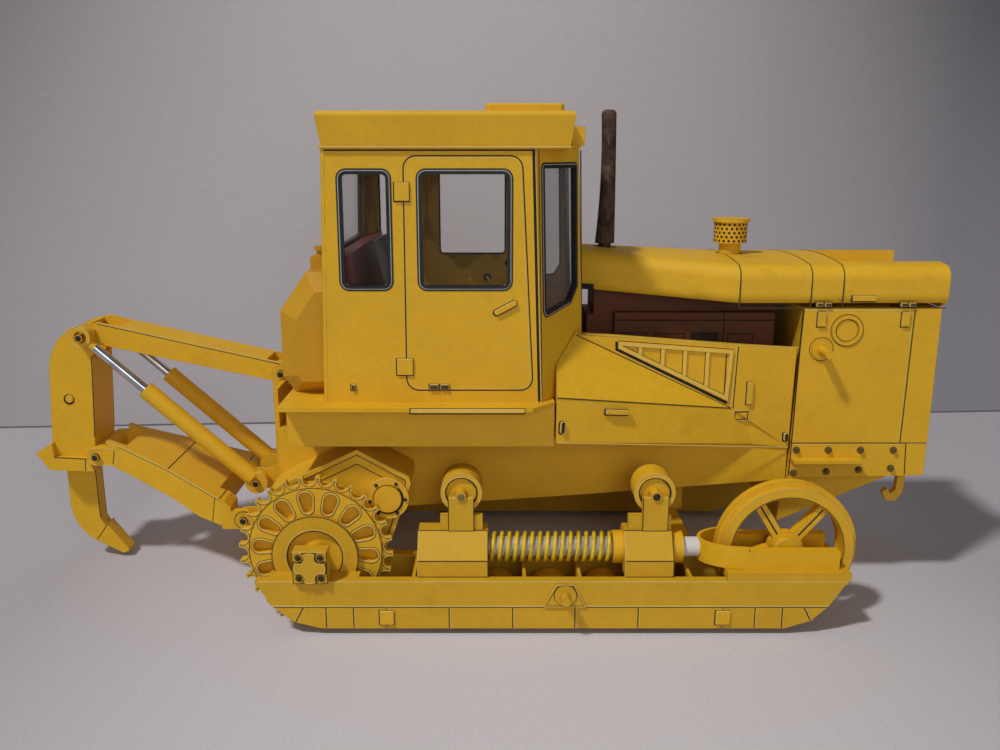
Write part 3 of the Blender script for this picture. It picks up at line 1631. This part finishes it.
    def wheel(self) -> None:
        """Rim circles and spoke lines of the front wheel."""
        rim = Sketch("idler_rim", side_facet(48.5), "idler_right")
        circles = ((PALE, 0.32, 19.0, 64), (INK_SOFT, 0.36, 16.45, 56), (PALE, 0.3, 3.45, 24))
        for finish, width, radius, steps in circles:
            rim.rings(finish, width, disc_loop(self.idler, radius, steps))
        rim.build()
        spokes = []
        for angle in range(50, 410, 72):
            spokes.append([arc(self.idler, radius, angle, angle, 1)[0] for radius in (5.2, 15.6)])
        Sketch("idler_web", side_facet(46.6), "idler_right").draw(INK, 0.55, *spokes).build()

    def springs(self) -> None:
        """Winds the recoil springs, which stand for the ringed solids, over their grey rods."""
        length, end_gap = self.spring_to - self.spring_from, 0.65
        axis = Matrix.Translation(Vector((self.spring_from, -self.track_y, self.spring_z)) * MM)
        axis = axis @ Matrix.Rotation(math.radians(90), 4, "Y")
        seed = bpy.data.meshes.new("spring_seed")
        seed.from_pydata([(0, 0, 0)], [], [])
        sizes = {"Coil Radius": 3.95, "Wire Radius": 0.6, "Length": length - 2 * end_gap}
        values = {"Turns": 15.6, **{name: size * MM for name, size in sizes.items()}}
        mesh = repeated(spring_tree(), seed, values, WIRE)
        mesh.transform(axis @ Matrix.Translation((0, 0, end_gap * MM)))
        piece = piece_of(mesh, "recoil_coil_right", [WIRE], CHASSIS)
        for polygon in piece.data.polygons:
            polygon.use_smooth = True
        other = twin(piece)
        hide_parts("recoil_spring_right")
        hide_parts("recoil_spring_left")
        rod = turned(axis, [(2.95, 0.05), (3.05, 0.2), (3.05, length - 0.2), (2.95, length - 0.05)], 28)
        twin(new_piece("recoil_sleeve_right", rod, [PALE_ROD]))


@dataclass
class Drive:
    """Sprocket, hub cover, bearing box and final drive.

    Attributes:
        axle: Middle of the sprocket.
        disc_y: Outer face of the disc.
        tooth_y: Outer face of the teeth.
        cover_y: Outer face of the hub cover.
        bearing_y: Outer face of the bearing box.
        bearing_z: Height of the bearing box's middle.
        bolt_pitch: Half the distance between its bolts.
        case_y: Outer face of the final drive's rim.
        case: Outline of the final drive, anticlockwise.
        pinion: Middle of the pinion's flange.
    """

    axle: Point2 = (-44.9, 22.6)
    disc_y: float = 48.0
    tooth_y: float = 47.4
    cover_y: float = 49.4
    bearing_y: float = 57.3
    bearing_z: float = 21.5
    bolt_pitch: float = 3.15
    case_y: float = 40.0
    case: tuple[Point2, ...] = (
        *((-27.0, 16.7), (-22.9, 24.6), (-17.4, 40.5), (-18.0, 42.5)),
        *((-33.1, 50.9), (-54.0, 40.9), (-60.0, 37.4), (-57.5, 16.7)),
    )
    pinion: Point2 = (-24.3, 36.1)

    def build(self) -> None:
        """Builds everything on the drive."""
        self.sprocket()
        self.cover()
        self.bearing()
        self.final_drive()

    def sprocket(self) -> None:
        """Edges of the sprocket's openings and teeth."""
        disc = Sketch("sprocket_disc", side_facet(self.disc_y), "sprocket_right")
        for index in range(14):
            pear = pear_loop(self.axle, -5.1 + index * 360 / 14, (16.3, 2.2), (13.2, 1.7))
            disc.rings(PALE, 0.42, pear).rings(INK_SOFT, 0.24, moved_in(pear, -0.4))
        disc.rings(INK_SOFT, 0.32, disc_loop(self.axle, 19.35, 72)).build()
        teeth = Sketch("sprocket_teeth", side_facet(self.tooth_y), "sprocket_right")
        rim = bitten_loop(self.axle, 22.42, 21.8, 2.0, 28, 2.9, 6)
        teeth.rings(PALE, 0.34, rim).rings(INK_SOFT, 0.2, moved_in(rim, 0.38)).build()

    def cover(self) -> None:
        """Arcs on the hub cover."""
        middle = (self.axle[0], self.axle[1] - 1.4)
        sketch = Sketch("hub_cover", side_facet(self.cover_y))
        sketch.draw(INK_SOFT, 0.32, arc(middle, 12.52, -20, 200, 40))
        sketch.draw(INK, 0.34, arc(middle, 8.1, -33, 213, 32))
        sketch.draw(PALE, 0.26, arc(middle, 8.5, -32, 212, 32)).build()

    def bearing(self) -> None:
        """Edges, clover plate and bolts of the bearing box."""
        (x, _), z, pitch = self.axle, self.bearing_z, self.bolt_pitch
        box = Sketch("bearing_box", side_facet(self.bearing_y))
        box.draw(PALE, 0.35, [(x - 4.8, z + 4.8), (x + 4.8, z + 4.8)])
        box.draw(INK_SOFT, 0.34, [(x + 4.82, z + 4.6), (x + 4.82, z - 4.8), (x - 4.8, z - 4.8)])
        box.draw(INK_SOFT, 0.28, [(x - 4.82, z + 4.6), (x - 4.82, z - 4.6)])
        clover = bitten_loop((x, z), 4.6, pitch * math.sqrt(2), 1.7, 4, 45)
        spots = [(x + i * pitch, z + j * pitch) for i in (-1, 1) for j in (-1, 1)]
        box.rings(INK, 0.4, moved_in(clover, -0.14))
        box.rings(INK_SOFT, 0.3, *(disc_loop(spot, 0.95, 16) for spot in spots)).build()
        plate = Sketch("clover_plate", side_facet(self.bearing_y + 0.7))
        plate.rings(PALE, 0.26, moved_in(clover, 0.16)).build()
        facet = side_facet(self.bearing_y + 0.3)
        bolt_heads("bearing_bolts_right", facet, spots, (0.78, 0.7, BOLT_DARK, 12, 0.7))

    def final_drive(self) -> None:
        """Rim, inner fold and bolted pinion flange of the final drive."""
        rim = Sketch("drive_rim", side_facet(self.case_y))
        rim.rings(PALE, 0.26, moved_in(self.case, 0.12))
        rim.rings(INK_SOFT, 0.34, moved_in(self.case, 1.42)).build()
        fold = moved_in(self.case, 4.1)
        floor = Sketch("drive_floor", side_facet(self.case_y - 0.6))
        floor.draw(INK_SOFT, 0.36, fold[4:6], fold[3:5]).build()
        flange = Sketch("pinion_flange", side_facet(self.case_y + 1.2))
        flange.rings(PALE, 0.3, disc_loop(self.pinion, 6.2, 40))
        flange.rings(INK, 0.3, disc_loop(self.pinion, 4.3, 32))
        flange.draw(INK, 0.75, arc(self.pinion, 4.5, -150, 45, 24)).build()
        heads = [arc(self.pinion, 5.25, aim, aim, 1)[0] for aim in (60, 128, 190, 238, 302, 357)]
        facet = side_facet(self.case_y + 1.25)
        bolt_heads("pinion_bolts_right", facet, heads, (0.6, 0.5, BOLT_DARK, 12, 0.7))


@dataclass
class Ripper:
    """Folds, straps, pins and creases of the rear ripper.

    Attributes:
        tilt: Pivot of the head on the lower arm.
        crown: Pivot of the upper link and the rods on the head.
        lift: Pivot of the lower arm on the tractor.
        ram: Pivot of the cylinders on the tractor.
        link: Pivot of the upper link on the tractor.
        fork_x: Where the arm's fork ends.
        waist: Where the arm's sides turn, seen from above.
        arm_end: Where they end beside the tractor.
        fork_y: Outer face of the arm's fork.
        head_y: Outer face of the head.
        beam_y: Outer face of the beam over the shank.
        link_y: Outer face of the upper link.
        eye_y: Outer face of the cylinders' eyes.
        shank_y: Side face of the shank.
    """

    tilt: Point2 = (-122.9, 38.9)
    crown: Point2 = (-123.3, 78.9)
    lift: Point2 = (-72.5, 21.8)
    ram: Point2 = (-70.6, 30.5)
    link: Point2 = (-61.7, 66.0)
    fork_x: float = -114.9
    waist: Point2 = (-98.1, 16.0)
    arm_end: Point2 = (-80.0, 23.05)
    fork_y: float = 11.0
    head_y: float = 8.0
    beam_y: float = 10.0
    link_y: float = 6.7
    eye_y: float = 12.7
    shank_y: float = 2.6

    def build(self) -> None:
        """Builds everything on the ripper."""
        self.pins()
        self.arm()
        self.head()
        self.upper_link()
        for name, middle, radius in (("cylinder_rod", self.crown, 3.1), ("cylinder_barrel", self.ram, 3.5)):
            eye = Sketch(name + "_eye", side_facet(self.eye_y), name + "_right")
            eye.rings(PALE, 0.32, disc_loop(middle, radius)).build()

    def pins(self) -> None:
        """Black domed pin heads at every pivot."""
        dome = [(1.36, 0.0), (1.4, 0.25), (1.24, 0.62), (0.86, 0.9), (0.32, 1.02)]
        for name, middle, base, body in (
            ("crown", self.crown, 13.0, "ripper_head"),
            ("tilt", self.tilt, 11.3, "ripper_head"),
            ("ram", self.ram, 13.0, CHASSIS),
            ("lift", self.lift, 23.5, CHASSIS),
            ("link", self.link, 8.0, CHASSIS),
        ):
            head = turned(side_facet(base).spot(middle), dome, 24)
            twin(new_piece(f"{name}_pin_head_right", head, [PIN], body, smooth=True))

    def arm(self) -> None:
        """Edges and creases of the lower arm, and the straps round its eyes."""
        x, z = self.tilt
        fork = Sketch("arm_fork", side_facet(self.fork_y), "ripper_arm")
        fork.rings(PALE, 0.34, rounded(box_loop(x - 2.9, z - 2.9, x + 7.3, z + 2.95), 2.8, 6))
        fork.draw(INK_SOFT, 0.34, [(x + 6.2, z + 2.4), (x + 5.4, z - 2.4)])
        fork.draw(PALE, 0.34, [(x + 3.7, 44.1), (x + 8.0, 42.5)]).build()
        corners = ((self.fork_x, self.fork_y), self.waist, self.arm_end)
        edges = (
            ("arm_front", 17.5, 42.5, 36.35, []),
            ("arm_rear", 19.4, 36.35, 28.9, [[(17.9, 29.3), (16.5, 21.0)]]),
        )
        for (name, run, start_z, end_z, folds), start, end in zip(edges, corners, corners[1:]):
            facet = Facet((start[0], -start[1], 0), (end[0] - start[0], start[1] - end[1], 0), (0, 0, 1))
            face = Sketch(name, facet, "ripper_arm")
            for finish, width, drop in ((PALE, 0.4, 0.0), (INK_SOFT, 0.24, 0.4)):
                face.draw(finish, width, [(0.0, start_z - drop), (run, end_z - drop)])
            face.draw(INK_SOFT, 0.36, *folds).build()
        creases = []
        for u, v, inner, outer in ((self.waist[0], 36.42, 0.0, 15.8), (-79.9, 28.92, 14.8, 22.6)):
            creases += [([Vector((u, side * y, v)) * MM for y in (inner, outer)], False) for side in (-1, 1)]
        lines("arm_creases", creases, 0.36, INK_SOFT, "ripper_arm")
        eye = Sketch("arm_eye", side_facet(self.arm_end[1]), "ripper_arm")
        eye.rings(INK_SOFT, 0.32, disc_loop(self.lift, 2.9)).build()

    def head(self) -> None:
        """Hole, beam and shank of the head."""
        side = Sketch("head_side", side_facet(self.head_y), "ripper_head")
        side.rings(INK, 0.75, disc_loop((-131.0, 57.6), 1.5, 20))
        side.plate(disc_loop((-130.75, 57.85), 1.3, 20), 0.45, side.ease, YELLOW, YELLOW)
        side.draw(INK_SOFT, 0.34, [(-122.3, 72.0), (-123.95, 44.8)])
        back = [(-136.2, 68.3), (-135.5, 71.9), (-133.0, 76.8), (-128.85, 80.7), (-124.3, 82.3)]
        side.draw(PALE, 0.34, back).build()
        beam = Sketch("head_beam", side_facet(self.beam_y), "ripper_head")
        beam.draw(INK_SOFT, 0.4, [(-137.2, 38.42), (-126.5, 37.85)])
        beam.draw(INK_SOFT, 0.34, [(-126.9, 37.6), (-127.3, 33.8)])
        beam.draw(PALE, 0.3, [(-126.2, 37.8), (-124.6, 33.7)]).build()
        shank = Sketch("shank_side", side_facet(self.shank_y), "ripper_head")
        shank.draw(INK_SOFT, 0.36, [(-129.2, 6.4), (-124.9, 12.2)])
        shank.draw(INK_SOFT, 0.34, [(-127.36, 33.4), (-127.36, 14.6)]).build()

    def upper_link(self) -> None:
        """Folded edges of the upper link."""
        run = (self.link[0] - self.crown[0], 0, self.link[1] - self.crown[1])
        facet = Facet((self.link[0], -self.link_y, self.link[1]), run, (-run[2], 0, run[0]))
        sketch = Sketch("upper_link_side", facet, "upper_link")
        sketch.draw(PALE, 0.4, [(-60.4, 4.3), (-0.4, 3.25)])
        sketch.draw(INK_SOFT, 0.28, [(-60.2, 3.9), (-0.4, 2.85)])
        sketch.draw(INK_SOFT, 0.3, arc((0.0, 0.0), 3.25, -80, 60)).build()


@dataclass
class Stage:
    """Table, backdrop, lights, world and camera.

    Attributes:
        table: Half length and half width of the table, in metres.
        wall_x: Half length of the backdrop, in metres.
        wall_y: Where its two ends stand, in metres.
        gap: How far the shaded gap under it stands in front of it, in metres.
        camera_at: Place of the camera, in metres.
        tip: How far it is tipped down, in degrees.
    """

    table: Point2 = (2.2, 2.0)
    wall_x: float = 1.2
    wall_y: Point2 = (0.0932, 0.2344)
    gap: float = 0.0006
    camera_at: Point3 = (0.0078, -0.300, 0.1364)
    tip: float = 13.6

    def build(self) -> None:
        """Builds all that isn't part of the model."""
        length, width = self.table
        corners = [(*point, 0) for point in box_loop(-length, -width, length, width)]
        paint = Board("table_board", (212, 208, 212), dim=(178, 174, 178), middle=0.02, reach=0.154)
        self.sheet("table", corners, paint)
        wall = {"dim": (152, 150, 156), "middle": -0.03, "reach": 0.27, "corner": 0.55, "one_sided": True}
        paint = Board("backdrop_board", (205, 200, 203), **wall)
        self.sheet("backdrop", self.upright(0.0, -0.01, 1.4), paint)
        paint = Board("backdrop_gap", (124, 118, 121), dim=(112, 107, 110), one_sided=True)
        self.sheet("backdrop_foot", self.upright(self.gap, 0.0002, 0.0011), paint)
        self.lights()
        self.camera()

    def upright(self, ahead: float, low: float, high: float) -> list[Point3]:
        """Corners of a sheet that stands along the backdrop.

        Args:
            ahead: How far it stands in front of the backdrop.
            low: Height of its lower edge.
            high: Height of its upper edge.

        Returns:
            The four corners in metres.
        """
        (left, right), x = (y - ahead for y in self.wall_y), self.wall_x
        return [(-x, left, low), (x, right, low), (x, right, high), (-x, left, high)]

    def sheet(self, name: str, corners: Sequence[Point3], finish: Finish) -> None:
        """Makes one flat sheet that is marked as stage.

        Args:
            name: Its name.
            corners: Its corners in metres.
            finish: Its finish.
        """
        mesh = bpy.data.meshes.new(name)
        mesh.from_pydata(corners, [], [tuple(range(len(corners)))])
        mesh.materials.append(finish.material())
        put(name, mesh)

    def lamp(self, name: str, place: Point3, aim: Point3, size: float, power: float, tone: Point3) -> None:
        """Adds a round soft lamp that looks at a point.

        Args:
            name: Its name.
            place: Its place in metres.
            aim: The point that it looks at, in metres.
            size: Its width in metres.
            power: Its power in watts.
            tone: Its linear colour.
        """
        data = bpy.data.lights.new(name, "AREA")
        data.shape, data.size, data.energy, data.color = "DISK", size, power, tone
        made = put(name, data)
        made.location = place
        made.rotation_euler = (Vector(aim) - Vector(place)).to_track_quat("-Z", "Y").to_euler()

    def lights(self) -> None:
        """A key lamp high on the left, two wide fills and an even world."""
        self.lamp("key", (-1.28, -1.20, 2.50), (0, 0, 0.05), 0.27, 54.0, (1.0, 0.99, 0.985))
        self.lamp("front_fill", (0.25, -1.30, 0.45), (0, 0, 0.05), 0.8, 3.2, (1.0, 1.0, 1.0))
        self.lamp("rear_fill", (0.6, 1.5, 1.1), (0, 0, 0.07), 1.2, 6.0, (1.0, 1.0, 1.0))
        world = bpy.data.worlds.new("room")
        bpy.context.scene.world = world
        world.use_nodes = True
        sky = world.node_tree.nodes["Background"]
        Graph(world.node_tree).feed(sky, {"Color": (0.93, 0.93, 0.96, 1), "Strength": 0.17})

    def camera(self) -> None:
        """The camera, level and tipped down a little."""
        data = bpy.data.cameras.new("camera")
        data.lens, data.sensor_width, data.shift_x = 33.48, 36.0, 0.004
        data.clip_start, data.clip_end = 0.01, 20
        made = put("camera", data)
        made.location = self.camera_at
        made.rotation_euler = (math.radians(90 - self.tip), 0, 0)
        bpy.context.scene.camera = made


NODE_FINISHES: dict[str, Finish] = {
    "cab_glass": FILM,
    "cab_seats": SEAT,
    "control_levers": LEVERS,
    "exhaust_stack": RUST,
    "cylinder_rod": CHROME,
    "engine_block": ENGINE,
    "rear_tank": TANK,
    "track_frame": TRACK,
    "idler_yoke": YOKE,
    "hood": YELLOW_ROUND,
}


def dress_nodes(nodes: dict[str, Piece]) -> None:
    """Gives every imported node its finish, which its left and right twins share.

    Args:
        nodes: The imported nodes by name.
    """
    for name, node in nodes.items():
        stem = name.removesuffix("_right").removesuffix("_left")
        finish = NODE_FINISHES.get(stem, YELLOW)
        if not node.data.materials:
            node.data.materials.append(finish.material())
        for slot in node.material_slots:
            slot.link = "OBJECT"
            slot.material = finish.material()
        log.info("node %s is finished in %s", name, finish.name)


def main() -> None:
    """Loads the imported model, dresses it and sets the stage."""
    logging.basicConfig(level=logging.INFO, format="%(name)s: %(message)s")
    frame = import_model()
    bpy.context.scene.view_settings.view_transform = "Standard"
    dress_nodes(frame["nodes"])
    for part in (Cab(), Bonnet(), Engine(), Flanks(), Nose(), TrackGear(), Drive(), Ripper(), Stage()):
        part.build()
        log.info("built %s", type(part).__name__)


if __name__ == "__main__":
    main()
